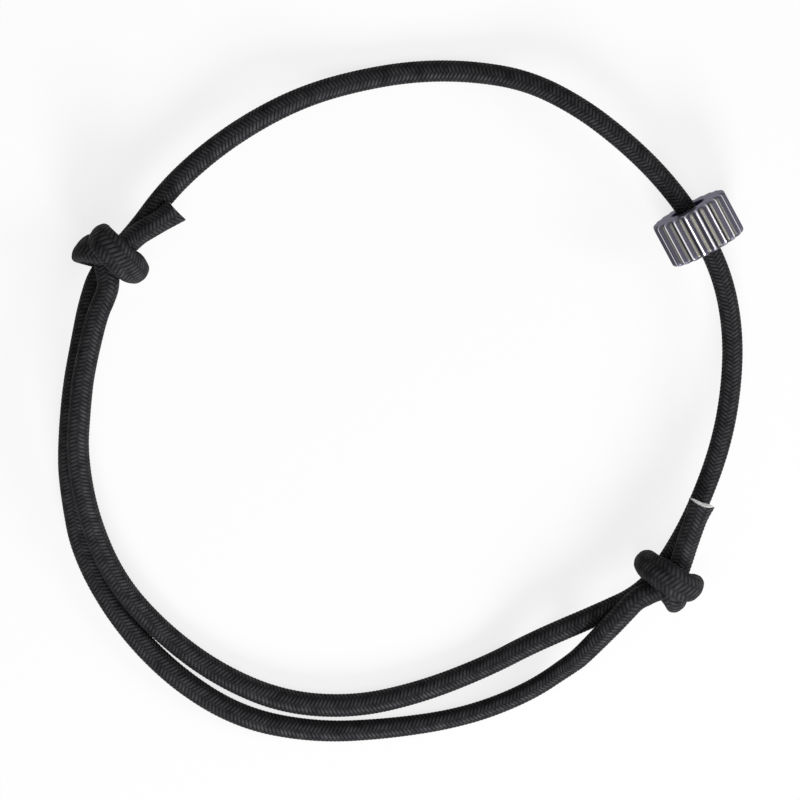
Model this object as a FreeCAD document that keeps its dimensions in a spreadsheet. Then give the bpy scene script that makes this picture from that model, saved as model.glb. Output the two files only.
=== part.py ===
import FreeCAD, Part
import Sketcher
import math
import os
from FreeCAD import Placement, Rotation, Vector

# An adjustable wrist loop lying on a table.  It is one length of black braided
# elastic cord with a white rubber core.  The cord goes round once and its two
# ends overlap: each end is tied in a tight overhand knot round the other end's
# strand, so both knots slide and the loop opens and closes.  A fluted steel
# bead is threaded on it.
#
# The cord is modelled in stretches that meet face to face, because the knots
# slide: the standing cord that they grip, the two free runs along the bottom,
# and each knot with its cut tail.
#
# Frame: origin on the table under the middle of the loop, +Z up.  The right
# knot and the bead slide on the right arc, the left knot on the left arc; the
# two arcs have one tangent at the top of the loop.

doc = FreeCAD.newDocument("wrist_loop")

# Driving dimensions, in millimetres and degrees.
DIMENSIONS = [
    ("cord_dia", 2.1, "outside of the braid"),
    ("core_dia", 1.5, "rubber core inside the braid"),
    ("tip_dia", 2.6, "a cut end, where the braid spreads"),
    ("tip_core_dia", 2.1, "rubber core at a cut end"),
    ("tip_length", 1.0, "length of the spread end"),
    ("right_arc_radius", 29.4, "middle of the cord on the right of the loop"),
    ("left_arc_radius", 37.0, "middle of the cord on the left of the loop"),
    ("arc_centre_x", 3.85, "both arcs' centres, from the middle of the loop"),
    ("loop_top_y", 33.5, "middle of the cord at the top of the loop"),
    ("strand_height", 3.5, "middle of the cord where a knot or bead carries it"),
    ("right_arc_start", -63.0, "lower end of the right arc"),
    ("right_arc_end", 66.0, "upper end of the right arc"),
    ("left_arc_start", 113.0, "upper end of the left arc"),
    ("left_arc_end", 176.0, "lower end of the left arc"),
    ("right_knot_angle", -42.8, "where the right knot grips the right arc"),
    ("left_knot_angle", 149.45, "where the left knot grips the left arc"),
    ("bead_angle", 28.3, "where the bead sits on the right arc"),
    ("bead_dia", 8.0, "over the ridges"),
    ("bead_length", 4.6, "along the cord"),
    ("bead_bore_dia", 3.2, "wide enough to thread the cord through"),
    ("bead_bore_chamfer", 0.2, "at both mouths of the bore"),
    ("bead_rim_chamfer", 0.4, "on the ridges at both ends"),
    ("flute_count", 20, "grooves round the bead"),
    ("flute_radius", 0.45, "of the cutter that makes a groove"),
    ("flute_depth", 0.3, "below the tops of the ridges"),
    ("ridge_round", 0.14, "on both edges of each ridge"),
]

sheet = doc.addObject("Spreadsheet::Sheet", "Dimensions")
for row, (alias, number, meaning) in enumerate(DIMENSIONS, start=1):
    sheet.set(f"A{row}", alias)
    sheet.set(f"B{row}", str(number))
    sheet.set(f"C{row}", meaning)
    sheet.setAlias(f"B{row}", alias)
doc.recompute()


def size(alias):
    return float(sheet.get(alias))


# Share of the shorter run that an arc takes at each end of a corner.
ARC_SHARE = 0.45
# Longest step between two corners of an arc's polygon, in degrees.
ARC_STEP = 11.5
# Straight lead where a run joins an arc or a knot, in millimetres.
LEAD = 4.0
# Share by which a swept solid's volume may miss section times length.
SWEEP_TOLERANCE = 0.01
# Least share of the bead's blank that the flutes take away.
FLUTE_SHARE = 0.02
# How far the rims' cutting triangle reaches outside the bead, in millimetres.
RIM_SPARE = 0.5
# How near two lengths have to be to count as equal, in millimetres.
NEAR = 1e-3

# Corners of the cord's free stretches, chosen along the real cord (mm).
TOP_DIP = [
    (10.0, 33.15, 2.1),
    (5.1, 33.7, 1.05),
    (0.7, 33.45, 1.05),
    (-3.4, 32.85, 1.9),
]
INNER_RUN = [
    (-32.2, 0.1, 5.6),
    (-32.0, -5.7, 5.35),
    (-31.1, -12.1, 3.4),
    (-28.5, -17.9, 2.5),
    (-24.8, -22.7, 1.15),
    (-19.4, -27.1, 1.05),
    (-13.2, -30.2, 1.05),
    (-6.4, -31.2, 1.05),
    (0.1, -30.3, 1.05),
    (5.3, -28.5, 1.05),
    (10.1, -26.4, 1.9),
]
OUTER_RUN = [
    (-33.2, -9.2, 2.2),
    (-32.0, -14.5, 1.05),
    (-28.8, -21.3, 1.05),
    (-23.9, -26.9, 1.05),
    (-17.7, -31.2, 1.05),
    (-10.6, -33.6, 1.05),
    (-3.3, -33.7, 1.05),
    (3.7, -32.9, 1.05),
    (9.7, -31.2, 1.05),
    (13.1, -29.3, 1.7),
    (15.8, -27.0, 3.1),
]

# Corners of the overhand knot, in cord diameters: along the strand that it is
# tied round, across it, and up.  The cord comes in beside that strand, passes
# under the wrap, turns back over the front, goes round behind both strands,
# comes up on its own side and tucks under the wrap.
KNOT_TURNS = [
    (-0.05, 1.15, -0.05),
    (0.7, 1.4, 0.2),
    (1.15, 1.8, 0.95),
    (1.1, 1.5, 1.9),
    (0.75, 0.6, 2.35),
    (0.4, -0.4, 2.05),
    (0.15, -1.15, 1.15),
    (0.0, -1.25, 0.05),
    (-0.1, -0.65, -1.0),
    (-0.25, 0.45, -1.19),
    (-0.5, 1.55, -1.05),
    (-0.8, 2.25, -0.3),
    (-0.85, 2.15, 0.75),
    (-0.5, 1.4, 1.4),
    (0.0, 0.7, 1.3),
    (0.7, 0.3, 1.08),
]
RIGHT_KNOT_IN = [(-3.3, 0.76, 0.8), (-2.3, 0.6, 0.95), (-1.45, 0.88, 0.6), (-0.8, 1.12, 0.1)]
RIGHT_KNOT_OUT = [(1.7, 0.2, 1.1), (2.6, 0.1, 1.16), (3.35, 0.07, 1.2)]
LEFT_KNOT_IN = [
    (-3.6, 0.45, 1.04),
    (-2.8, 0.42, 1.04),
    (-2.0, -0.15, 1.22),
    (-1.4, -0.85, 0.85),
    (-0.8, -1.12, 0.12),
]
LEFT_KNOT_OUT = [(1.6, 0.3, 1.12), (2.4, 0.75, 1.0), (3.15, 0.9, 0.8)]


class SlideArc:
    """A level arc of the standing cord, on which a knot or the bead slides."""

    def __init__(self, side):
        self.radius = size(f"{side}_arc_radius")
        self.start = size(f"{side}_arc_start")
        self.end = size(f"{side}_arc_end")
        self.centre = Vector(size("arc_centre_x"), size("loop_top_y") - self.radius, 0)

    def point(self, degrees, radius=None):
        angle = math.radians(degrees)
        reach = self.radius if radius is None else radius
        flat = self.centre + Vector(math.cos(angle), math.sin(angle), 0) * reach
        return flat + Vector(0, 0, size("strand_height"))

    def heading(self, degrees):
        angle = math.radians(degrees)
        return Vector(-math.sin(angle), math.cos(angle), 0)

    def corners(self):
        """Corners of the even polygon whose sides touch the arc."""
        count = math.ceil((self.end - self.start) / ARC_STEP)
        step = (self.end - self.start) / count
        reach = self.radius / math.cos(math.radians(step / 2))
        return [self.point(self.start + (i + 0.5) * step, reach) for i in range(count)]

    def placement(self, degrees):
        """Turns a shape made about the origin to its place on the arc."""
        return Placement(self.centre, Rotation(Vector(0, 0, 1), degrees))


def cord_path(name, corners):
    """Straight runs joined by arcs that touch them, as one wire."""
    edges = []
    radii = []
    here = corners[0]
    for before, corner, after in zip(corners, corners[1:], corners[2:]):
        run_in, run_out = corner - before, after - corner
        turn = run_in.getAngle(run_out)
        cut = ARC_SHARE * min(run_in.Length, run_out.Length)
        radius = cut / math.tan(turn / 2)
        run_in.normalize()
        run_out.normalize()
        begin, finish = corner - run_in * cut, corner + run_out * cut
        inward = run_out - run_in
        inward.normalize()
        middle = corner + inward * radius * (1 / math.cos(turn / 2) - 1)
        edges.append(Part.LineSegment(here, begin).toShape())
        edges.append(Part.Arc(begin, middle, finish).toShape())
        radii.append(radius)
        here = finish
    edges.append(Part.LineSegment(here, corners[-1]).toShape())
    path = Part.Wire(edges)
    print(f"{name}: {path.Length:.1f} mm, arc radii {min(radii):.2f} to {max(radii):.1f} mm")
    return path


def lead(start, toward):
    """A point one lead away from start, straight away from toward."""
    back = start - toward
    back.normalize()
    return start + back * LEAD


def swept(path, corners, dia):
    """A solid rod of that diameter along the path."""
    section = Part.Wire(Part.makeCircle(dia / 2, corners[0], corners[1] - corners[0]))
    solid = path.makePipeShell([section], True, False)
    wanted = math.pi * dia**2 / 4 * path.Length
    if abs(solid.Volume / wanted - 1) > SWEEP_TOLERANCE:
        raise ValueError(f"swept volume {solid.Volume:.1f}, wanted {wanted:.1f}")
    return solid


def cone(at, along, dia, end_dia):
    return Part.makeCone(dia / 2, end_dia / 2, size("tip_length"), at, along)


def part(name, shape, placement=Placement()):
    piece = doc.addObject("Part::Feature", name)
    piece.Label = name
    piece.Shape = shape
    piece.Placement = placement
    return piece


def cord(name, corners, placement=Placement(), cut_end=False):
    """The braid and the core of one stretch of cord, as two parts."""
    path = cord_path(name, corners)
    core = swept(path, corners, size("core_dia"))
    braid = swept(path, corners, size("cord_dia")).cut(core)
    if cut_end:
        tip, along = corners[-1], corners[-1] - corners[-2]
        core_tip = cone(tip, along, size("core_dia"), size("tip_core_dia"))
        braid_tip = cone(tip, along, size("cord_dia"), size("tip_dia")).cut(core_tip)
        core = core.fuse(core_tip)
        braid = braid.fuse(braid_tip)
    return [part(f"{name}_braid", braid, placement), part(f"{name}_core", core, placement)]


def knot_corners(arc, side, steps):
    """The knot's corners about the arc's centre; side is 1 outside the arc, -1 inside."""
    unit = size("cord_dia")
    corners = []
    for along, across, up in steps:
        angle = side * along * unit / arc.radius
        reach = arc.radius + side * across * unit
        height = size("strand_height") + up * unit
        corners.append(Vector(reach * math.cos(angle), reach * math.sin(angle), height))
    return corners


def origin_plane(body, role):
    return next(f for f in body.Origin.OriginFeatures if f.Role == role)


def sketch_on(body, role, name):
    sketch = body.newObject("Sketcher::SketchObject", name)
    sketch.AttachmentSupport = [(origin_plane(body, role), "")]
    sketch.MapMode = "FlatFace"
    return sketch


def sketch_circle(sketch, radius_expression, x_expression=None):
    """A circle on the sketch's X axis, bound to the sheet."""
    index = sketch.addGeometry(Part.Circle(Vector(0, 0, 0), Vector(0, 0, 1), 1.0), False)
    radius = sketch.addConstraint(Sketcher.Constraint("Radius", index, 1.0))
    sketch.setExpression(f"Constraints[{radius}]", radius_expression)
    if x_expression is None:
        sketch.addConstraint(Sketcher.Constraint("Coincident", index, 3, -1, 1))
        return
    sketch.addConstraint(Sketcher.Constraint("PointOnObject", index, 3, -1))
    reach = sketch.addConstraint(Sketcher.Constraint("DistanceX", -1, 1, index, 3, 1.0))
    sketch.setExpression(f"Constraints[{reach}]", x_expression)


def fluted_bead(placement):
    """A turned steel bead: bored, grooved all round, its ridges and rims eased."""
    body = doc.addObject("PartDesign::Body", "fluted_bead")
    body.Label = "fluted_bead"

    blank_sketch = sketch_on(body, "XY_Plane", "BeadSection")
    sketch_circle(blank_sketch, "Dimensions.bead_dia / 2")
    sketch_circle(blank_sketch, "Dimensions.bead_bore_dia / 2")
    blank = body.newObject("PartDesign::Pad", "BeadBlank")
    blank.Profile = blank_sketch
    blank.setExpression("Length", "Dimensions.bead_length")
    doc.recompute()
    blank_volume = body.Shape.Volume

    flute_sketch = sketch_on(body, "XY_Plane", "FluteSection")
    middle = "Dimensions.bead_dia / 2 - Dimensions.flute_depth + Dimensions.flute_radius"
    sketch_circle(flute_sketch, "Dimensions.flute_radius", middle)
    flute = body.newObject("PartDesign::Pocket", "Flute")
    flute.Profile = flute_sketch
    flute.Type = "ThroughAll"
    flute.Reversed = True
    flutes = body.newObject("PartDesign::PolarPattern", "Flutes")
    flutes.Originals = [flute]
    flutes.Axis = (origin_plane(body, "Z_Axis"), [""])
    flutes.Angle = 360
    flutes.setExpression("Occurrences", "Dimensions.flute_count")
    body.Tip = flutes
    doc.recompute()
    if body.Shape.Volume > (1 - FLUTE_SHARE) * blank_volume:
        raise ValueError("the flutes cut nothing")

    ridges = body.newObject("PartDesign::Fillet", "RidgeRounds")
    ridges.Base = (flutes, ridge_edges(flutes.Shape))
    ridges.setExpression("Radius", "Dimensions.ridge_round")
    body.Tip = ridges
    doc.recompute()

    mouths = body.newObject("PartDesign::Chamfer", "BoreMouths")
    mouths.Base = (ridges, bore_edges(ridges.Shape))
    mouths.setExpression("Size", "Dimensions.bead_bore_chamfer")
    body.Tip = mouths
    doc.recompute()

    rim_sketch = sketch_on(body, "XZ_Plane", "RimSection")
    sketch_rim(rim_sketch, "0", 1)
    sketch_rim(rim_sketch, "Dimensions.bead_length", -1)
    rims = body.newObject("PartDesign::Groove", "Rims")
    rims.Profile = rim_sketch
    rims.ReferenceAxis = (rim_sketch, ["V_Axis"])
    rims.Angle = 360
    body.Tip = rims
    body.Placement = placement
    return body


def ridge_edges(shape):
    """Names of the edges along the bead where the ridges meet the grooves."""
    outside = size("bead_dia") / 2
    names = []
    for number, edge in enumerate(shape.Edges, start=1):
        reach = [math.hypot(v.X, v.Y) for v in edge.Vertexes]
        upright = abs(edge.BoundBox.ZLength - edge.Length) < NEAR
        if upright and min(reach) > outside - NEAR:
            names.append(f"Edge{number}")
    return names


def bore_edges(shape):
    """Names of the two round edges at the mouths of the bore."""
    bore = size("bead_bore_dia") / 2
    names = []
    for number, edge in enumerate(shape.Edges, start=1):
        flat = edge.BoundBox.ZLength < NEAR
        if flat and abs(edge.Length - 2 * math.pi * bore) < NEAR:
            names.append(f"Edge{number}")
    return names


def sketch_rim(sketch, end_expression, inward):
    """A triangle across the rim at one end of the bead, on the XZ plane."""
    rim = "Dimensions.bead_dia / 2"
    cut = "Dimensions.bead_rim_chamfer"
    beyond = f"{end_expression} - {inward * RIM_SPARE}"
    places = [
        (f"{rim} - {cut} - {RIM_SPARE}", beyond),
        (f"{rim} + {RIM_SPARE}", beyond),
        (f"{rim} + {RIM_SPARE}", f"{end_expression} + {inward} * ({cut} + {RIM_SPARE})"),
    ]
    # Any triangle the right way round will do; the expressions then place it.
    outside = size("bead_dia") / 2
    rough = [
        Vector(outside - RIM_SPARE, RIM_SPARE, 0),
        Vector(outside, RIM_SPARE, 0),
        Vector(outside, 2 * RIM_SPARE, 0),
    ]
    first = sketch.GeometryCount
    for i in range(3):
        sketch.addGeometry(Part.LineSegment(rough[i], rough[(i + 1) % 3]), False)
    for i in range(3):
        meeting = Sketcher.Constraint("Coincident", first + i, 2, first + (i + 1) % 3, 1)
        sketch.addConstraint(meeting)
    for i, (x_expression, y_expression) in enumerate(places):
        for kind, expression in (("DistanceX", x_expression), ("DistanceY", y_expression)):
            number = sketch.addConstraint(Sketcher.Constraint(kind, -1, 1, first + i, 1, 1.0))
            sketch.setExpression(f"Constraints[{number}]", expression)


right_arc = SlideArc("right")
left_arc = SlideArc("left")

# The standing cord: up the right arc, through the bead, over the dip at the
# top, and down the left arc.  Both knots are tied round it.
standing_start = right_arc.point(right_arc.start)
standing_end = left_arc.point(left_arc.end)
standing = (
    [standing_start]
    + right_arc.corners()
    + [Vector(*p) for p in TOP_DIP]
    + left_arc.corners()
    + [standing_end]
)
parts = cord("standing_cord", standing)

# The two knots, each with its own cut tail.
right_place = right_arc.placement(size("right_knot_angle"))
right_knot = knot_corners(right_arc, 1, RIGHT_KNOT_IN + KNOT_TURNS + RIGHT_KNOT_OUT)
parts += cord("right_knot", right_knot, right_place, cut_end=True)

mirrored = [(along, -across, up) for along, across, up in KNOT_TURNS]
left_place = left_arc.placement(size("left_knot_angle"))
left_knot = knot_corners(left_arc, -1, LEFT_KNOT_IN + mirrored + LEFT_KNOT_OUT)
parts += cord("left_knot", left_knot, left_place, cut_end=True)

# The two runs between the knots: the inner one from the left knot to the foot
# of the standing cord, the outer one from its other end to the right knot.
left_in = left_place.multVec(left_knot[0])
right_in = right_place.multVec(right_knot[0])
inner = (
    [left_in, lead(left_in, left_place.multVec(left_knot[1]))]
    + [Vector(*p) for p in INNER_RUN]
    + [lead(standing_start, standing[1]), standing_start]
)
outer = (
    [standing_end, lead(standing_end, standing[-2])]
    + [Vector(*p) for p in OUTER_RUN]
    + [lead(right_in, right_place.multVec(right_knot[1])), right_in]
)
parts += cord("inner_run", inner)
parts += cord("outer_run", outer)

# The bead lies on the table and on the cord through its bore.
bead_middle = right_arc.point(size("bead_angle"))
bead_middle.z = size("bead_dia") / 2
bead_axis = right_arc.heading(size("bead_angle"))
bead_turn = Rotation(Vector(0, 0, 1), bead_axis)
bead_foot = bead_middle - bead_axis * (size("bead_length") / 2)
parts.append(fluted_bead(Placement(bead_foot, bead_turn)))

doc.recompute()
for item in doc.Objects:
    if "Invalid" in item.State or "Error" in item.State:
        raise ValueError(f"{item.Label} failed: {item.State}")

os.makedirs("parts", exist_ok=True)
for item in parts:
    if item.Shape.isNull() or not item.Shape.isValid():
        raise ValueError(f"{item.Label} has no valid shape")
    item.Shape.exportStep(f"parts/{item.Label}.step")
    print(f"{item.Label}: {len(item.Shape.Solids)} solid, {item.Shape.Volume:.2f} mm3")

whole = Part.makeCompound([item.Shape for item in parts]).BoundBox
print(
    f"whole: X {whole.XMin:.2f} to {whole.XMax:.2f}, "
    f"Y {whole.YMin:.2f} to {whole.YMax:.2f}, Z {whole.ZMin:.2f} to {whole.ZMax:.2f}"
)
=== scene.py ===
import math

import bpy
import numpy as np
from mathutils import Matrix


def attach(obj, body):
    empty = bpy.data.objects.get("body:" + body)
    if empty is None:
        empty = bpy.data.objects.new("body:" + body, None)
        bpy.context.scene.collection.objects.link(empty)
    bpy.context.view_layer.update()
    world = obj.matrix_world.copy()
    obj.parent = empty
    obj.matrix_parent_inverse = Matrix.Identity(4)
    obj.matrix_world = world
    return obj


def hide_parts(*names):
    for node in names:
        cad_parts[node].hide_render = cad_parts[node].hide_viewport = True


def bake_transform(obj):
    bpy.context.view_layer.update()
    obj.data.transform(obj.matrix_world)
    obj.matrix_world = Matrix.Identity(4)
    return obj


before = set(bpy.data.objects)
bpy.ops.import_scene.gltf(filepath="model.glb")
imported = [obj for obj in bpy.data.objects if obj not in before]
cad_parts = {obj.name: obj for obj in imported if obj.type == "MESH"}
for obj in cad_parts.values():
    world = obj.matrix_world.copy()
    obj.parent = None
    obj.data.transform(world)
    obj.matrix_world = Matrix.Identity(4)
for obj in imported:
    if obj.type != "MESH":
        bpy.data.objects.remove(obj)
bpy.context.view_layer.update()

MM = 0.001

# ---------------------------------------------------------------- the view
# The loop lies flat and is looked at from almost straight above, from half a
# metre away, so that its far side is hardly smaller than its near side.
VIEW_TILT = math.radians(9.0)
VIEW_DISTANCE = 560 * MM
VIEW_TARGET = np.array([0.15, 0.48, 2.0]) * MM
LENS, SENSOR = 252.0, 36.0

lens = bpy.data.cameras.new("view")
lens.lens, lens.sensor_width = LENS, SENSOR
lens.clip_start, lens.clip_end = 0.01, 20.0
camera = bpy.data.objects.new("view", lens)
toward_camera = np.array([0.0, math.sin(VIEW_TILT), math.cos(VIEW_TILT)])
camera.location = VIEW_TARGET + VIEW_DISTANCE * toward_camera
camera.rotation_euler = (-VIEW_TILT, 0.0, 0.0)
bpy.context.scene.collection.objects.link(camera)
bpy.context.scene.camera = camera
bpy.context.scene.view_settings.view_transform = "Standard"

# ------------------------------------------------------- the standing cord
# Bracelet elastic: a bundle of white rubber threads in a tight sleeve that
# sixteen black yarns are braided into.  This stretch runs up the right side
# through the bead, touches the table at the top and comes down the left side.
CORD_DIA = 2.1 * MM
CORE_DIA = 1.5 * MM
# The corners that pull the cord along its way.  Its girth is given as lengths
# along it, each with the distance there from its middle to its yarns' crowns.
STANDING_RUN = np.array([
    (17.3, -22.3, 3.3), (19.8, -21.2, 3.4), (24.85, -18.8, 3.4), (28.1, -13.95, 3.5), (30.5, -8.8, 3.5),
    (32.3, -3.4, 3.5), (33.2, 2.1, 3.5), (33.3, 7.7, 3.6), (32.2, 13.3, 3.7), (29.7, 18.3, 3.75),
    (26.3, 22.9, 3.75), (22.3, 26.8, 3.75), (17.8, 30.2, 3.6), (12.8, 32.6, 2.5), (7.3, 33.4, 1.2),
    (1.7, 33.4, 1.1), (-3.9, 32.5, 1.2), (-9.2, 31.1, 2.4), (-14.1, 28.8, 3.5), (-18.8, 25.6, 3.5),
    (-22.9, 21.8, 3.5), (-26.2, 17.3, 3.5), (-29.65, 13.8, 3.5), (-30.8, 10.3, 3.5), (-31.5, 6.8, 3.5),
    (-32.45, 1.9, 3.4), (-32.7, -0.9, 3.2),
]) * MM
STANDING_GIRTH = [(0, 1.10), (18, 1.04), (50, 1.04), (64, 1.05), (85, 1.09), (100, 1.12), (135, 1.12)]
LEAD = 4.0 * MM              # straight stretch where one part of the cord runs into the next

RIB = 0.40 * MM              # from one yarn to the next, along the cord
COLUMNS = 8                  # columns of yarns round the cord
YARN_LEAN = 1.0              # ribs that a yarn climbs across its column
YARN_REACH = 0.74            # half a yarn's showing length, in columns
YARN_CROWN = 1.12 * MM       # from the cord's middle to the crown of a yarn
YARN_RISE = 0.15 * MM        # from the bottom of a groove to a yarn's crown
YARN_PACKING = 0.9           # under 1, the yarns of a column press into each other's sides
AROUND = 6 * COLUMNS         # points round a ring of the sleeve
CORE_AROUND = 24             # points round a ring of the rubber
RING_STEP = RIB / 6          # from one ring to the next, along the cord
BORE_EVERY = 60              # rings of the sleeve to one ring of its bore
ROD_EVERY = 8                # rings of the sleeve to one ring of the rubber
TURN = np.arange(AROUND) * 2 * math.pi / AROUND
CORE_TURN = np.arange(CORE_AROUND) * 2 * math.pi / CORE_AROUND

# Painted shade: near-black in the grooves between the yarns; the yarn's own black on their crowns.
GROOVE_SHADE_BLACK = (0.001, 0.001, 0.0022, 1)
YARN_BLACK = (0.046, 0.0452, 0.0482, 1)
CREAM_WHITE = (0.88, 0.87, 0.86, 1)
CLEAN_WHITE = (0.97, 0.96, 0.95, 1)


def lead(start, toward):
    """A point one lead away from start, straight away from toward."""
    away = start - toward
    return start + LEAD * away / np.linalg.norm(away)


def laid_line(corners):
    """Points a ring step apart along the smooth line that the corners pull, and its length."""
    curve = bpy.data.curves.new("route", "CURVE")
    curve.dimensions = "3D"
    spline = curve.splines.new("NURBS")
    spline.points.add(len(corners) - 1)
    spline.points.foreach_set("co", np.column_stack([corners, np.ones(len(corners))]).ravel())
    spline.order_u = 3
    spline.use_endpoint_u = True
    spline.resolution_u = 48
    holder = bpy.data.objects.new("route", curve)
    mesh = bpy.data.meshes.new_from_object(holder)
    points = np.empty(len(mesh.vertices) * 3)
    mesh.vertices.foreach_get("co", points)
    points = points.reshape(-1, 3)
    bpy.data.meshes.remove(mesh)
    bpy.data.objects.remove(holder)
    bpy.data.curves.remove(curve)
    laid = np.append(0.0, np.cumsum(np.linalg.norm(np.diff(points, axis=0), axis=1)))
    even = np.linspace(0.0, laid[-1], 1 + round(laid[-1] / RING_STEP))
    return np.stack([np.interp(even, laid, points[:, k]) for k in range(3)], axis=1), laid[-1]


def unit(vectors):
    """The same ways, each one long."""
    return vectors / np.linalg.norm(vectors, axis=-1, keepdims=True)


def level_frames(line):
    """For each point of a line that is never upright: the way along, a level side, and up."""
    along = unit(np.gradient(line, axis=0))
    side = unit(np.cross(along, [0.0, 0.0, 1.0]))
    return along, side, np.cross(side, along)


def braid(turn, laid):
    """How high the yarns stand: 1 on a crown, 0 in a groove.

    Odd columns lean one way and even columns the other.  A yarn's section,
    root(1 - |u|^3), is flatter on top than a circle; its height falls slowly, then
    steeply, towards its ends, where it dives under the yarns of the next column,
    and the higher of the two neighbouring columns shows.  Here u runs from -1 to 1
    across a yarn, and likewise along it."""
    place = turn / (2 * math.pi) * COLUMNS
    column = np.floor(place)
    x = place - column - 0.5
    height = np.zeros(np.broadcast(turn, laid).shape)
    for shift in (-1, 0, 1):
        here = column + shift
        off = x - shift
        lean = np.where(here % 2 == 0, 1.0, -1.0)
        phase = laid / RIB - lean * YARN_LEAN * off - 0.5 * (here % 2)
        across = phase - np.round(phase)
        crown = np.sqrt(np.clip(1 - np.abs(2 * YARN_PACKING * across) ** 3, 0, 1))
        ends = np.sqrt(np.clip(1 - np.abs(off / YARN_REACH) ** 3, 0, 1))
        height = np.maximum(height, crown * ends)
    return height


def grid_mesh(name, grid, wrap_rows, **marks):
    """A mesh over a grid of points, closed round each row, and from last row to first if asked.

    Each mark is a number for every point, kept as an attribute of that name."""
    rows, columns = grid.shape[:2]
    i = np.arange(rows if wrap_rows else rows - 1)[:, None]
    j = np.arange(columns)[None, :]
    here, there = i * columns, (i + 1) % rows * columns
    after = (j + 1) % columns
    quads = np.stack([here + j, there + j, there + after, here + after], axis=-1).reshape(-1, 4)
    points = grid.reshape(-1, 3)
    faces = quads.tolist()
    if not wrap_rows:
        points = np.concatenate([points, grid[:1].mean(axis=1), grid[-1:].mean(axis=1)])
        first, last = rows * columns, rows * columns + 1
        j = np.arange(columns)
        after = (j + 1) % columns
        end = (rows - 1) * columns
        faces += np.stack([np.full(columns, first), j, after], axis=1).tolist()
        faces += np.stack([np.full(columns, last), end + after, end + j], axis=1).tolist()
    mesh = bpy.data.meshes.new(name)
    mesh.from_pydata(points, [], faces)
    mesh.polygons.foreach_set("use_smooth", np.ones(len(faces), bool))
    for key, values in marks.items():
        mark = mesh.attributes.new(key, "FLOAT", "POINT")
        mark.data.foreach_set("value", values.ravel().astype(np.float32))
    mesh.update()
    piece = bpy.data.objects.new(name, mesh)
    bpy.context.scene.collection.objects.link(piece)
    return piece


def rings(line, frames, reach, turn):
    """Points round each point of the line: centre + reach * (side * cos + up * sin)."""
    _, side, up = frames
    spokes = side[:, None] * np.cos(turn)[:, None] + up[:, None] * np.sin(turn)[:, None]
    return line[:, None] + spokes * np.broadcast_to(reach, spokes.shape[:2])[..., None]


def every(step, line):
    """The numbers of every so many points of the line, and of its last one."""
    return np.unique(np.append(np.arange(0, len(line), step), len(line) - 1))


def sleeve(name, line, frames, laid_from, girth):
    """The braided sleeve of one stretch, with its bore, closed at both ends.

    A ring's reach is the girth at its place less what the yarns' grooves take off:
    the cord is thinner where it is pulled tighter.  The table holds it up at 0."""
    own = np.arange(len(line))[:, None] * RING_STEP
    heights = braid(TURN, laid_from + own)
    at, wide = np.array(girth).T * MM
    outer = rings(line, frames, np.interp(own, at, wide) - YARN_RISE * (1 - heights), TURN)
    outer[..., 2] = np.maximum(outer[..., 2], 0.0)
    few = every(BORE_EVERY, line)[::-1]
    bore = rings(line[few], [f[few] for f in frames], CORE_DIA / 2, TURN)
    grid = np.concatenate([outer, bore])
    return grid_mesh(name, grid, True, crown=np.concatenate([heights, np.zeros(bore.shape[:2])]))


def core(name, line, frames):
    """The rubber core of one stretch: a plain rod."""
    few = every(ROD_EVERY, line)
    grid = rings(line[few], [f[few] for f in frames], CORE_DIA / 2, CORE_TURN)
    return grid_mesh(name, grid, False)


class Socket:
    """An output of a material's node that sums, products and powers can be written with."""

    def __init__(self, tree, link):
        self.tree, self.link = tree, link

    def math(self, operation, *values):
        return make(self.tree, "ShaderNodeMath", {"operation": operation}, *values)

    def most(self, other):
        """The larger of the two."""
        return self.math("MAXIMUM", self, other)

    def __add__(self, other):
        return self.math("ADD", self, other)

    def __radd__(self, other):
        return self.math("ADD", other, self)

    def __sub__(self, other):
        return self.math("SUBTRACT", self, other)

    def __rsub__(self, other):
        return self.math("SUBTRACT", other, self)

    def __mul__(self, other):
        return self.math("MULTIPLY", self, other)

    def __rmul__(self, other):
        return self.math("MULTIPLY", other, self)

    def __pow__(self, other):
        return self.math("POWER", self, other)


def make(tree, kind, settings, *values, output=0, **named):
    """A node of that kind: settings first, then its sockets in order or by name."""
    node = tree.nodes.new(kind)
    for key, value in settings.items():
        setattr(node, key, value)
    for key, value in list(enumerate(values)) + list(named.items()):
        socket = node.inputs[key] if isinstance(key, int) else node.inputs[key.replace("_", " ")]
        if isinstance(value, Socket):
            tree.links.new(value.link, socket)
        elif value is not None:
            socket.default_value = value
    return Socket(tree, node.outputs[output])


def finish_material(name, build):
    """A material whose Principled sockets come from build(tree), a dict of name to value."""
    material = bpy.data.materials.new(name)
    material.use_nodes = True
    tree = material.node_tree
    shader = next(n for n in tree.nodes if n.type == "BSDF_PRINCIPLED")
    for key, value in build(tree).items():
        if isinstance(value, Socket):
            tree.links.new(value.link, shader.inputs[key])
        else:
            shader.inputs[key].default_value = value
    return material


def mixed(tree, share, first, second):
    """A colour between two others, which are the Mix node's sockets 6 and 7, its result 2."""
    return make(tree, "ShaderNodeMix", {"data_type": "RGBA"}, share, None, None, None, None, None,
                first, second, output=2)


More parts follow.
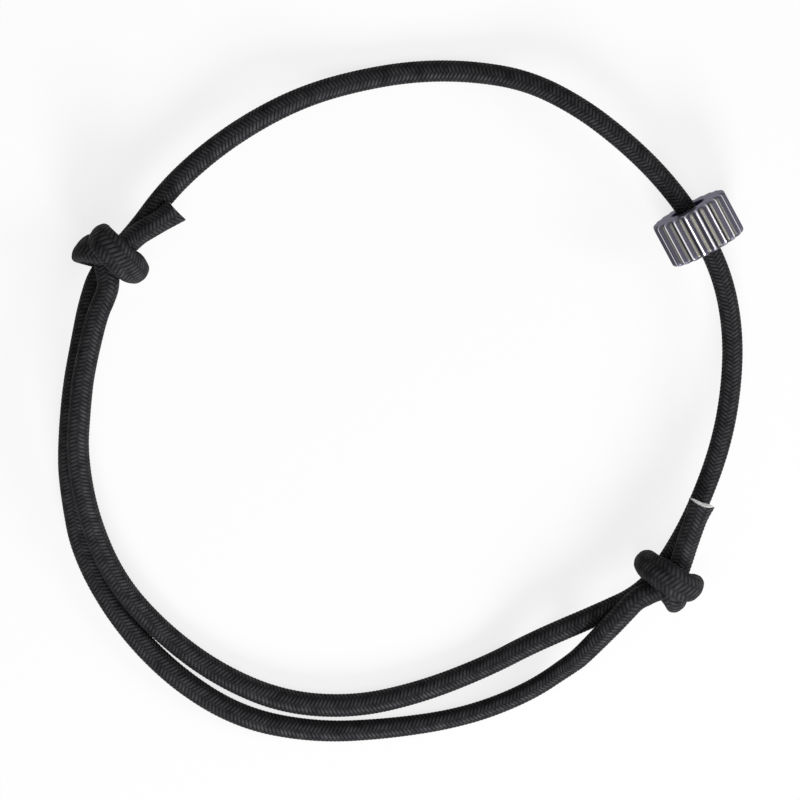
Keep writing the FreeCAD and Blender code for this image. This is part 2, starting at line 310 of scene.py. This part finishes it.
def black_yarn(tree):
    """Black polyester: matt, with a weak shine on the crowns where the filaments lie side by side.

    The yarn's own black holds on the crowns and gives way by crown^4 to a painted shade in the grooves
    between the yarns, and the shine comes in by crown^5; both the yarn's black and the shine are more in
    some patches."""
    place = make(tree, "ShaderNodeTexCoord", {}, output="Object")
    crown = make(tree, "ShaderNodeAttribute", {"attribute_name": "crown"}, output="Fac")
    patches = make(tree, "ShaderNodeTexNoise", {}, place, Scale=1100.0, Detail=2.0)
    hairs = make(tree, "ShaderNodeTexNoise", {}, place, Scale=16000.0, Detail=2.0)
    # painted shade: the colour darkens from the yarns' crowns into the grooves between them, less so in some
    # patches
    out_of_groove_shade = crown ** 4.0 * (0.3 + patches * 1.1)
    shine = crown ** 5.0 * (patches * 0.55 - 0.15)
    bump = make(tree, "ShaderNodeBump", {}, Strength=0.15, Distance=0.00004, Height=hairs)
    return {
        "Base Color": mixed(tree, out_of_groove_shade, GROOVE_SHADE_BLACK, YARN_BLACK),
        "Roughness": 0.75,
        "Specular IOR Level": 0.03,
        "Coat Weight": shine,
        "Coat Roughness": 0.36,
        "Normal": bump,
    }


def white_rubber(tree):
    """White latex threads pressed side by side, dull, with a faint cream tint."""
    place = make(tree, "ShaderNodeTexCoord", {}, output="Object")
    threads = make(tree, "ShaderNodeTexVoronoi", {}, place, Scale=5200.0)
    tint = make(tree, "ShaderNodeTexNoise", {}, place, Scale=1500.0, Detail=2.0)
    bump = make(tree, "ShaderNodeBump", {}, Strength=0.3, Distance=0.00005, Height=threads)
    return {
        "Base Color": mixed(tree, tint, CREAM_WHITE, CLEAN_WHITE),
        "Roughness": 0.5 + tint * 0.15,
        "Normal": bump,
    }


YARN = finish_material("black_yarn", black_yarn)
RUBBER = finish_material("white_rubber", white_rubber)


def dress(piece, material):
    """The piece with its material."""
    piece.data.materials.append(material)
    return piece


standing_line, standing_length = laid_line(STANDING_RUN)
standing_frames = level_frames(standing_line)
standing = sleeve("standing_cord", standing_line, standing_frames, 0.0, STANDING_GIRTH)
dress(standing, YARN)
standing_core = dress(core("standing_cord_rubber", standing_line, standing_frames), RUBBER)
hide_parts("standing_cord_braid")
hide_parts("standing_cord_core")
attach(standing, "loop")
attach(standing_core, "loop")

# --------------------------------------------------------------- the knots
# Each end of the cord is tied round the other end's strand in an overhand
# knot pulled tight: the cord comes up on the outer side, turns back over the
# top, passes under both strands, comes up again and tucks under its own wrap.
ARC_CENTRE_X = 3.85 * MM
STRAND_HEIGHT = 3.5 * MM     # of the gripped strand's middle over the table
RIGHT_ARC = {"radius": 29.4 * MM, "centre_y": 4.1 * MM}
LEFT_ARC = {"radius": 37.0 * MM, "centre_y": -3.5 * MM}
RIGHT_KNOT_ANGLE, LEFT_KNOT_ANGLE = -42.8, 149.45
WIDER, THINNER = 0.40, 0.34  # what pressing adds to the cord's width and takes off its thickness
PRESS_GAP = 0.02 * MM        # what stays between two turns pressed together
OTHER_TURN = 1.4 * CORD_DIA  # further off along the cord than this, it is another turn
GRIP_REACH = 14 * MM         # the strand further than this from a knot's middle is outside it
RINGS_AT_ONCE = 60           # a stretch of rings whose distances are worked out together
OTHERS_EVERY = 4             # every so many rings of the other turns are enough to measure to
KNOT_BORE_EVERY = 6          # rings of a knot's sleeve to one ring of its bore
CORE_FILL = 0.985            # the share of a knot's bore that the rubber fills
TIP_DIA = 2.75 * MM          # of the sleeve at a cut end, where it flares
TIP_CORE_DIA = 2.45 * MM     # of the rubber there
TIP_LENGTH = 1.8 * MM        # of the stretch that flares
TIP_LIP = 0.12 * MM          # how far the sides of a cut end stand proud of its middle
LEFT_SLANT = 0.18 * MM       # how much further the inner side of the left tail's cut end reaches
RIGHT_BULGE = 0.16 * MM      # how far the rubber stands out of the right tail's cut end
LEFT_BULGE = 0.05 * MM       # the same for the left tail's
# Corners in cord diameters, along the strand that the knot grips, outwards
# across it and up, and how hard the cord is pressed flat there, from 0 to 1.
RIGHT_KNOT = [
    (-3.3, 0.90, 0.85, 0), (-2.4, 0.68, 1.05, 0), (-1.6, 0.55, 1.0, 0), (-1.0, 0.82, 0.65, 0.2),
    (-0.4, 1.3, 0.2, 0.3), (0.1, 1.62, 0.1, 0.3), (0.46, 2.02, 0.45, 0.5), (0.5, 2.16, 1.15, 0.6),
    (0.38, 1.8, 1.8, 0.8), (0.25, 1.0, 2.0, 1), (0.12, 0.35, 1.75, 1), (-0.02, -0.1, 1.22, 0.7),
    (-0.13, -0.37, 0.5, 0.3), (-0.17, -0.33, -0.25, 0.3), (-0.25, 0.0, -0.85, 0.7), (-0.32, 0.7, -1.05, 0.8),
    (-0.38, 1.4, -0.95, 0.6), (-0.46, 1.98, -0.45, 0.4), (-0.46, 2.12, 0.25, 0.4), (-0.35, 1.85, 0.85, 0.4),
    (-0.1, 1.4, 1.12, 0.3), (0.35, 1.1, 1.15, 0.2), (0.92, 0.88, 1.12, 0), (1.75, 0.55, 1.15, 0),
    (2.6, 0.3, 1.2, 0), (3.35, 0.15, 1.2, 0), (3.83, 0.08, 1.17, 0),
]
LEFT_KNOT = [
    (-3.6, -0.47, 1.05, 0), (-2.8, -0.39, 1.06, 0), (-2.0, -0.42, 1.06, 0), (-1.3, -0.34, 1.03, 0),
    (-0.7, 0.05, 0.98, 0.2), (-0.15, 0.55, 0.78, 0.3), (0.32, 0.94, 0.6, 0.4), (0.52, 1.18, 0.95, 0.5),
    (0.54, 1.18, 1.6, 0.7), (0.5, 0.84, 2.15, 0.9), (0.38, 0.3, 2.35, 1), (0.16, -0.38, 2.15, 1),
    (-0.02, -0.98, 1.6, 0.8), (-0.12, -1.27, 0.85, 0.4), (-0.14, -1.25, 0.05, 0.4), (-0.18, -0.92, -0.65, 1),
    (-0.28, -0.25, -1.05, 1), (-0.45, 0.5, -1.0, 0.8), (-0.55, 1.13, -0.6, 0.8), (-0.52, 1.5, 0.0, 1),
    (-0.38, 1.58, 0.65, 1), (-0.2, 1.22, 1.2, 0.6), (0.0, 0.5, 1.5, 0.3), (0.48, -0.02, 1.5, 0.2),
    (0.98, -0.15, 1.3, 0), (1.6, -0.3, 1.15, 0), (2.3, -0.6, 1.05, 0), (3.05, -0.88, 0.85, 0),
    (3.53, -0.98, 0.72, 0),
]


def knot_corners(arc, angle, heading, steps):
    """The knot's corners on its arc: angle + heading * along / radius, at radius + across.

    The heading is 1 where the tail points the way that the arc's angles grow, or -1."""
    along, across, up, _ = np.array(steps).T * CORD_DIA
    turn = np.radians(angle) + heading * along / arc["radius"]
    reach = arc["radius"] + across
    x, y = ARC_CENTRE_X + reach * np.cos(turn), arc["centre_y"] + reach * np.sin(turn)
    return np.stack([x, y, STRAND_HEIGHT + up], axis=1)


def carried_frames(line, first_side):
    """The way along, a side and an up that turn with the line and never spin round it."""
    along = unit(np.gradient(line, axis=0))
    side = np.empty_like(along)
    here = first_side
    for i, way in enumerate(along):
        here = here - way * (here @ way)
        here = here / np.linalg.norm(here)
        side[i] = here
    return along, side, np.cross(side, along)


def nearest(points, line):
    """Which point of the line is nearest, for each point."""
    return ((points[..., None, :] - line) ** 2).sum(axis=-1).argmin(axis=-1)


def squeezed(spokes, thin_way, wide_way, flat):
    """Spokes made shorter along the thin way and longer along the wide way, where flat is up to 1."""
    thin = (spokes * thin_way).sum(axis=-1, keepdims=True) * thin_way
    wide = (spokes * wide_way).sum(axis=-1, keepdims=True) * wide_way
    return spokes - THINNER * flat * thin + WIDER * flat * wide


def pressed(points, line, strand, thin_way, wide_way, flat):
    """Ring points moved out of the gripped strand and out of the knot's own other turns.

    A point inside the strand goes to its surface.  Where two turns of the knot
    meet, the border is the plane that parts the way between their middles in
    the ratio of their half widths along it."""
    near = strand[nearest(points, strand)]
    away = points - near
    depth = np.linalg.norm(away, axis=-1, keepdims=True)
    points = near + away * np.maximum(1.0, (YARN_CROWN + PRESS_GAP) / depth)
    others = np.arange(0, len(line), OTHERS_EVERY)
    own = np.arange(len(line))
    apart = np.abs(own[:, None] - others[None, :]) * RING_STEP > OTHER_TURN

    def half_width(at, way):
        """From the middle of the pressed cord to its side that way: root(thin^2 + wide^2)."""
        thin = (way * thin_way[at]).sum(axis=-1) * (1 - THINNER * flat[at, 0])
        wide = (way * wide_way[at]).sum(axis=-1) * (1 + WIDER * flat[at, 0])
        return YARN_CROWN * np.sqrt(thin ** 2 + wide ** 2)

    for first in range(0, len(line), RINGS_AT_ONCE):
        part = own[first:first + RINGS_AT_ONCE]
        gaps = ((points[part, :, None, :] - line[others]) ** 2).sum(axis=-1)
        other = others[np.where(apart[part, None, :], gaps, np.inf).argmin(axis=-1)]
        between = line[other] - line[part, None, :]
        distance = np.linalg.norm(between, axis=-1)
        way = between / distance[..., None]
        mine, theirs = half_width(part[:, None], way), half_width(other, way)
        limit = distance * mine / (mine + theirs) - PRESS_GAP
        past = ((points[part] - line[part, None, :]) * way).sum(axis=-1) - limit
        points[part] -= way * np.maximum(past, 0.0)[..., None]
    return points


def press_ways(line, along, strand):
    """The ways in which a knot's cord is pressed thin and is left to spread, both across it.

    Thin is towards a place half a cord above the gripped strand's nearest point."""
    heart = strand[nearest(line, strand)] + np.array([0.0, 0.0, CORD_DIA / 2])
    thin_way = heart - line
    thin_way = unit(thin_way - along * (thin_way * along).sum(axis=1, keepdims=True))
    return thin_way, np.cross(along, thin_way)


def domed(rod, middle, rise):
    """The rod's rings and four more that close it in a low dome, each higher and narrower."""
    higher = np.array([0.45, 0.8, 0.95, 1.0])[:, None, None]
    narrower = np.array([1.0, 0.93, 0.72, 0.35])[:, None, None]
    return np.concatenate([rod, middle + (rod[-1] - middle) * narrower + higher * rise])


def tied(name, corners, steps, first_side, laid_from, heading, slant, bulge):
    """One knot with its cut tail: the sleeve, its bore and the core, all pressed alike.

    The tail's last stretch flares by (1 - left / tip length)^1.5 of what it gains."""
    line, length = laid_line(corners)
    frames = carried_frames(line, first_side)
    along = frames[0]
    strand = standing_line[::3]
    strand = strand[np.linalg.norm(strand - line.mean(axis=0), axis=1) < GRIP_REACH]
    thin_way, wide_way = press_ways(line, along, strand)
    ring = np.arange(len(line))[:, None]
    flat = np.interp(ring, nearest(corners, line), np.array(steps)[:, 3])
    left = length - ring * RING_STEP
    flare = np.clip(1 - left / TIP_LENGTH, 0, 1) ** 1.5
    reach = YARN_CROWN + flare * (TIP_DIA / 2 - YARN_CROWN)
    spokes = rings(line, frames, reach, TURN) - line[:, None]
    spokes = squeezed(spokes, thin_way[:, None], wide_way[:, None], flat[:, None])
    skin = pressed(line[:, None] + spokes, line, strand, thin_way, wide_way, flat)
    skin[..., 2] = np.maximum(skin[..., 2], 0.0)

    # The cut end: its sides stand proud as lips, and the side towards the loop's
    # middle may reach further than the outer one.
    rim = unit(spokes)
    outward = unit(line[-1] * (1, 1, 0))
    cut = TIP_LIP * (1 - 2 * rim[..., 2:] ** 2) - slant * (rim @ outward)[..., None]
    skin += along[:, None] * flare[..., None] * cut

    turn = TURN if heading > 0 else math.pi - TURN
    heights = braid(turn, laid_from + heading * ring * RING_STEP)
    spokes = skin - line[:, None]
    outer = skin - unit(spokes) * (YARN_RISE * (1 - heights))[..., None]
    hollow = (CORE_DIA / 2 + flare * (TIP_CORE_DIA - CORE_DIA) / 2) / reach
    few = every(KNOT_BORE_EVERY, line)
    bore = (line[:, None] + spokes * hollow[..., None])[few]
    grid = np.concatenate([outer, bore[::-1]])
    knot = grid_mesh(name, grid, True, crown=np.concatenate([heights, np.zeros(bore.shape[:2])]))
    dress(knot, YARN)
    rod = (line[:, None] + spokes * hollow[..., None] * CORE_FILL)[few][:, ::2]
    rod = domed(rod, line[-1], bulge * along[-1])
    rubber = dress(grid_mesh(f"{name}_rubber", rod, False), RUBBER)
    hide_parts(f"{name}_braid")
    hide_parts(f"{name}_core")
    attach(knot, name)
    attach(rubber, name)


right_corners = knot_corners(RIGHT_ARC, RIGHT_KNOT_ANGLE, 1, RIGHT_KNOT)
left_corners = knot_corners(LEFT_ARC, LEFT_KNOT_ANGLE, -1, LEFT_KNOT)

# --------------------------------------------------- the inner and outer run
# The two free lengths between the knots lie side by side along the bottom of
# the loop.
INNER_RUN = np.array([
    (-31.7, 0.0, 5.6), (-32.05, -4.7, 5.0), (-31.05, -11.3, 3.5), (-28.4, -17.9, 2.5), (-24.0, -23.3, 1.2),
    (-18.3, -27.7, 1.1), (-11.7, -30.6, 1.1), (-4.5, -31.1, 1.1), (2.4, -29.5, 1.1), (9.1, -26.8, 1.1),
]) * MM
OUTER_RUN = np.array([
    (-32.8, -9.2, 1.8), (-31.8, -15.3, 1.1), (-28.0, -22.2, 1.1), (-22.6, -28.0, 1.1), (-16.0, -32.2, 1.1),
    (-8.4, -33.7, 1.1), (-0.7, -33.3, 1.1), (6.7, -32.1, 1.1), (13.0, -29.6, 1.3), (17.4, -26.3, 2.6),
]) * MM
INNER_GIRTH = [(0, 1.12), (35, 1.13), (47, 1.19), (54, 1.17), (70, 1.08), (80, 1.10)]
OUTER_GIRTH = [
    (0, 1.12), (20, 1.15), (31, 1.20), (40, 1.14), (52, 1.05), (60, 0.98), (71, 0.97), (80, 1.12),
]


def free_run(name, corners, laid_from, girth):
    """A run that bends from the loop to its knot between two points.

    Where the braid isn't laid from a given length, it is laid up to 0 at the run's end."""
    line, length = laid_line(corners)
    frames = level_frames(line)
    laid_from = -length if laid_from is None else laid_from
    run = dress(sleeve(name, line, frames, laid_from, girth), YARN)
    rubber = dress(core(f"{name}_rubber", line, frames), RUBBER)
    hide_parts(f"{name}_braid")
    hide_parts(f"{name}_core")
    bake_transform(run)
    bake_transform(rubber)
    return frames, length


inner_corners = np.concatenate([
    [left_corners[0], lead(left_corners[0], left_corners[1])], INNER_RUN,
    [lead(STANDING_RUN[0], STANDING_RUN[1]), STANDING_RUN[0]],
])
outer_corners = np.concatenate([
    [STANDING_RUN[-1], lead(STANDING_RUN[-1], STANDING_RUN[-2])], OUTER_RUN,
    [lead(right_corners[0], right_corners[1]), right_corners[0]],
])
inner_frames, inner_length = free_run(
    "inner_run", inner_corners, None, INNER_GIRTH)
outer_frames, outer_length = free_run(
    "outer_run", outer_corners, standing_length, OUTER_GIRTH)
tied("right_knot", right_corners, RIGHT_KNOT, outer_frames[1][-1],
     laid_from=standing_length + outer_length, heading=1, slant=0.0, bulge=RIGHT_BULGE)
tied("left_knot", left_corners, LEFT_KNOT, -inner_frames[1][0],
     laid_from=-inner_length, heading=-1, slant=LEFT_SLANT, bulge=LEFT_BULGE)

# ---------------------------------------------------------------- the bead
# Turned from stainless steel bar and polished: a bore wide enough to thread
# the cord, flat ends, and rounded ridges all round with narrow grooves between.
BEAD_ANGLE = 28.3
BEAD_DIA = 8.0 * MM
BEAD_LENGTH = 4.6 * MM
BORE_DIA = 3.2 * MM
BORE_EASE = 0.3 * MM
RIM_EASE = 0.4 * MM
RIDGES = 20
FLUTE_RADIUS = 0.45 * MM
FLUTE_DEPTH = 0.32 * MM      # before the crests are rounded over
POINTS_PER_RIDGE = 24
CREST_EASE = 1.5             # how many points on, either way, the crests are rounded over
END_SHARE = 0.4              # the share of a rim's rounding on which the side turns into the end
NEAR = 0.01 * MM             # closer than this to the mouth's edge is on it
RIDGE_FROM = 0.972           # crown above which the steel turns bright
REFLECTION_LINE_TO = 0.20             # crown below which the groove's painted reflection line comes in

# Painted light on the steel: the flanks' dark grey stands for shade and dark reflections, the bottoms' olive
# grey for a reflected line; the ridges are bright polished steel.
FLANK_SHADE_GREY = (0.062, 0.058, 0.078, 1)
BOTTOM_REFLECTION_GREY = (0.20, 0.195, 0.165, 1)
SMEARED_STEEL = (0.72, 0.71, 0.73, 1)
BRIGHT_STEEL = (0.90, 0.89, 0.91, 1)
# Painted shade: near-black inside the bore and its rounded mouths.
BORE_SHADE_BLACK = (0.015, 0.015, 0.028, 1)
END_GREY = (0.24, 0.23, 0.28, 1)


def bead_reach(turn):
    """Distance of the fluted side from the bead's middle line.

    Each flute is part of a circle: middle * cos(turn) - root(radius^2 - middle^2 * sin(turn)^2)
    from the middle of the flute, and what no flute cuts is the bead's own circle.
    A running mean with bell-shaped weights rounds the crests."""
    middle = BEAD_DIA / 2 - FLUTE_DEPTH + FLUTE_RADIUS
    pitch = 2 * math.pi / RIDGES
    off = (turn + pitch / 2) % pitch - pitch / 2
    inside = FLUTE_RADIUS ** 2 - (middle * np.sin(off)) ** 2
    flute = middle * np.cos(off) - np.sqrt(np.maximum(inside, 0.0))
    reach = np.where(inside > 0, np.minimum(flute, BEAD_DIA / 2), BEAD_DIA / 2)
    shifts = np.arange(-4, 5)
    weights = np.exp(-0.5 * (shifts / CREST_EASE) ** 2)
    return sum(w * np.roll(reach, s) for s, w in zip(shifts, weights)) / weights.sum()


def bead_section():
    """Closed outline of the bead's wall: (place along, distance from the middle line).

    The rims and the mouths of the bore are quarter rounds: ease * (1 - sin), ease * (1 - cos)."""
    half = BEAD_LENGTH / 2
    inner = BORE_DIA / 2
    outer = BEAD_DIA / 2
    ease = np.linspace(0, math.pi / 2, 5)
    rim = [(half - RIM_EASE * (1 - math.sin(a)), outer - RIM_EASE * (1 - math.cos(a))) for a in ease]
    mouth = [(half - BORE_EASE * (1 - math.cos(a)), inner + BORE_EASE * (1 - math.sin(a))) for a in ease]
    side = [(x, outer) for x in np.linspace(-0.95, 0.95, 7) * (half - RIM_EASE)]
    face = [(half, r) for r in np.linspace(outer - RIM_EASE, inner + BORE_EASE, 7)[1:-1]]
    end = rim + face + mouth
    back = [(-x, r) for x, r in reversed(end)]
    wall = [(x, inner) for x in np.linspace(0.9, -0.9, 5) * half]
    return np.array(side + end + wall + back)


def bead_grid():
    """The outline carried round, with the grooves cut full depth through the rims.

    On the flat ends the cut fades towards the bore's mouth.  The marks: how much of
    the end a point is, from 0 on the side to 1 past the rim, and its crown, which is
    0 to 1 from groove to ridge on the side, 1 on the flat of the end, 0 in the bore."""
    turn = np.arange(RIDGES * POINTS_PER_RIDGE) * 2 * math.pi / (RIDGES * POINTS_PER_RIDGE)
    place, out = bead_section().T
    mouth, rim = BORE_DIA / 2 + BORE_EASE, BEAD_DIA / 2 - RIM_EASE
    share = np.clip((out - mouth) / (rim - mouth), 0, 1)
    cut = BEAD_DIA / 2 - bead_reach(turn)
    end = np.clip((BEAD_DIA / 2 - out) / (END_SHARE * RIM_EASE), 0, 1)[:, None]
    flat = np.where(out > mouth - NEAR, 1.0, 0.0)[:, None]
    crown = np.where(end < 1, (cut.max() - cut) / np.ptp(cut), flat)
    return place, out[:, None] - share[:, None] * cut, turn, crown, np.broadcast_to(end, crown.shape)


def polished_steel(tree):
    """Bright polished steel on the ridges, painted dark shade and reflection on the grooves' flanks, a
    painted duller reflection line in their bottoms, grey on the ends and painted near-black shade in the
    bore.
    """
    place = make(tree, "ShaderNodeTexCoord", {}, output="Object")
    crown = make(tree, "ShaderNodeAttribute", {"attribute_name": "crown"}, output="Fac")
    end = make(tree, "ShaderNodeAttribute", {"attribute_name": "end"}, output="Fac")
    smears = make(tree, "ShaderNodeTexNoise", {}, place, Scale=420.0, Detail=3.0)
    marks = make(tree, "ShaderNodeTexNoise", {}, place, Scale=2600.0, Detail=2.0)
    ridge = make(tree, "ShaderNodeMapRange", {"interpolation_type": "SMOOTHSTEP"}, crown, RIDGE_FROM, 1.0)
    bottom = make(tree, "ShaderNodeMapRange", {"interpolation_type": "SMOOTHSTEP"}, crown, REFLECTION_LINE_TO, 0.0)
    # painted shade on the flanks, a painted reflection line in the bottoms
    groove = mixed(tree, bottom, FLANK_SHADE_GREY, BOTTOM_REFLECTION_GREY)
    bright = mixed(tree, smears, SMEARED_STEEL, BRIGHT_STEEL)
    side = mixed(tree, ridge, groove, bright)
    # the ends' own grey, with painted shade in the bore
    flat = mixed(tree, crown, BORE_SHADE_BLACK, END_GREY)
    bump = make(tree, "ShaderNodeBump", {}, Strength=0.04, Distance=0.00003, Height=marks)
    return {
        "Base Color": mixed(tree, end, side, flat),
        "Metallic": 1.0,
        "Roughness": 0.42 - ridge * (0.29 - end * 0.2) + smears * 0.06,
        "Specular Tint": (0.42, 0.42, 0.46, 1),
        "Normal": bump,
    }


place, reach, turn, crown, end = bead_grid()
bead_turn = math.radians(BEAD_ANGLE)
bead_middle = np.array([
    ARC_CENTRE_X + RIGHT_ARC["radius"] * math.cos(bead_turn),
    RIGHT_ARC["centre_y"] + RIGHT_ARC["radius"] * math.sin(bead_turn),
    BEAD_DIA / 2,
])
heading = math.radians(BEAD_ANGLE + 90)
bead_along = np.array([math.cos(heading), math.sin(heading), 0.0])
bead_out = np.array([math.sin(heading), -math.cos(heading), 0.0])
bead_up = np.array([0.0, 0.0, 1.0])
grid = (bead_middle + place[:, None, None] * bead_along
        + (reach * np.cos(turn))[..., None] * bead_out + (reach * np.sin(turn))[..., None] * bead_up)
STEEL = finish_material("polished_steel", polished_steel)
bead = dress(grid_mesh("bead", grid, True, crown=crown, end=end), STEEL)
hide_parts("fluted_bead")
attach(bead, "bead")

# ------------------------------------------------------ the table and light
# A plain white table, one large soft lamp from below the loop as it is seen,
# a weaker one from its right and one overhead, under an even white sky.
TABLE_PAINT = (0.95, 0.95, 0.95, 1)
WHITE = (1, 1, 1, 1)
TABLE_GLOW = 0.8             # the share of plain white in the table as seen; the rest takes shadow
SKY_LIGHT = 0.12

table_mesh = bpy.data.meshes.new("table")
table_corners = [(-3.0, -3.0, 0.0), (3.0, -3.0, 0.0), (3.0, 3.0, 0.0), (-3.0, 3.0, 0.0)]
table_mesh.from_pydata(table_corners, [], [(0, 1, 2, 3)])
table = bpy.data.objects.new("table", table_mesh)
bpy.context.scene.collection.objects.link(table)


def as_seen(tree):
    """1 for what the camera sees, directly or in metal or glass; 0 for light that falls on a piece."""
    direct = make(tree, "ShaderNodeLightPath", {}, output="Is Camera Ray")
    in_metal = make(tree, "ShaderNodeLightPath", {}, output="Is Glossy Ray")
    in_glass = make(tree, "ShaderNodeLightPath", {}, output="Is Transmission Ray")
    return direct.most(in_metal).most(in_glass)


def pale_table(tree):
    """White paint that is mostly plain white as seen, and keeps the object's shadow."""
    paint = make(tree, "ShaderNodeBsdfDiffuse", {}, TABLE_PAINT)
    glow = make(tree, "ShaderNodeEmission", {}, WHITE, 1.0)
    return make(tree, "ShaderNodeMixShader", {}, as_seen(tree) * TABLE_GLOW, paint, glow)


def white_sky(tree):
    """Plain white as seen, and a weak even light on the pieces."""
    return make(tree, "ShaderNodeBackground", {}, WHITE, as_seen(tree) * (1 - SKY_LIGHT) + SKY_LIGHT)


def surface(owner, build, output):
    """Make build(tree) the whole surface of a material or a world."""
    owner.use_nodes = True
    tree = owner.node_tree
    tree.nodes.clear()
    tree.links.new(build(tree).link, tree.nodes.new(output).inputs["Surface"])
    return owner


table_mesh.materials.append(
    surface(bpy.data.materials.new("pale_table"), pale_table, "ShaderNodeOutputMaterial"))
bpy.context.scene.world = surface(bpy.data.worlds.new("sky"), white_sky, "ShaderNodeOutputWorld")


def lamp(name, place, size, watts):
    """A square soft lamp that shines at the middle of the loop."""
    light = bpy.data.lights.new(name, "AREA")
    light.size = size
    light.energy = watts
    holder = bpy.data.objects.new(name, light)
    holder.location = place
    way = -np.array(place) / np.linalg.norm(place)
    holder.rotation_euler = (math.acos(-way[2]), 0.0, math.atan2(-way[0], way[1]))
    bpy.context.scene.collection.objects.link(holder)


lamp("below", place=(0.16, -0.73, 0.48), size=0.35, watts=7.4)
lamp("beside", place=(0.72, 0.0, 0.42), size=0.35, watts=3.0)
lamp("overhead", place=(0.0, -0.12, 0.74), size=0.3, watts=1.0)
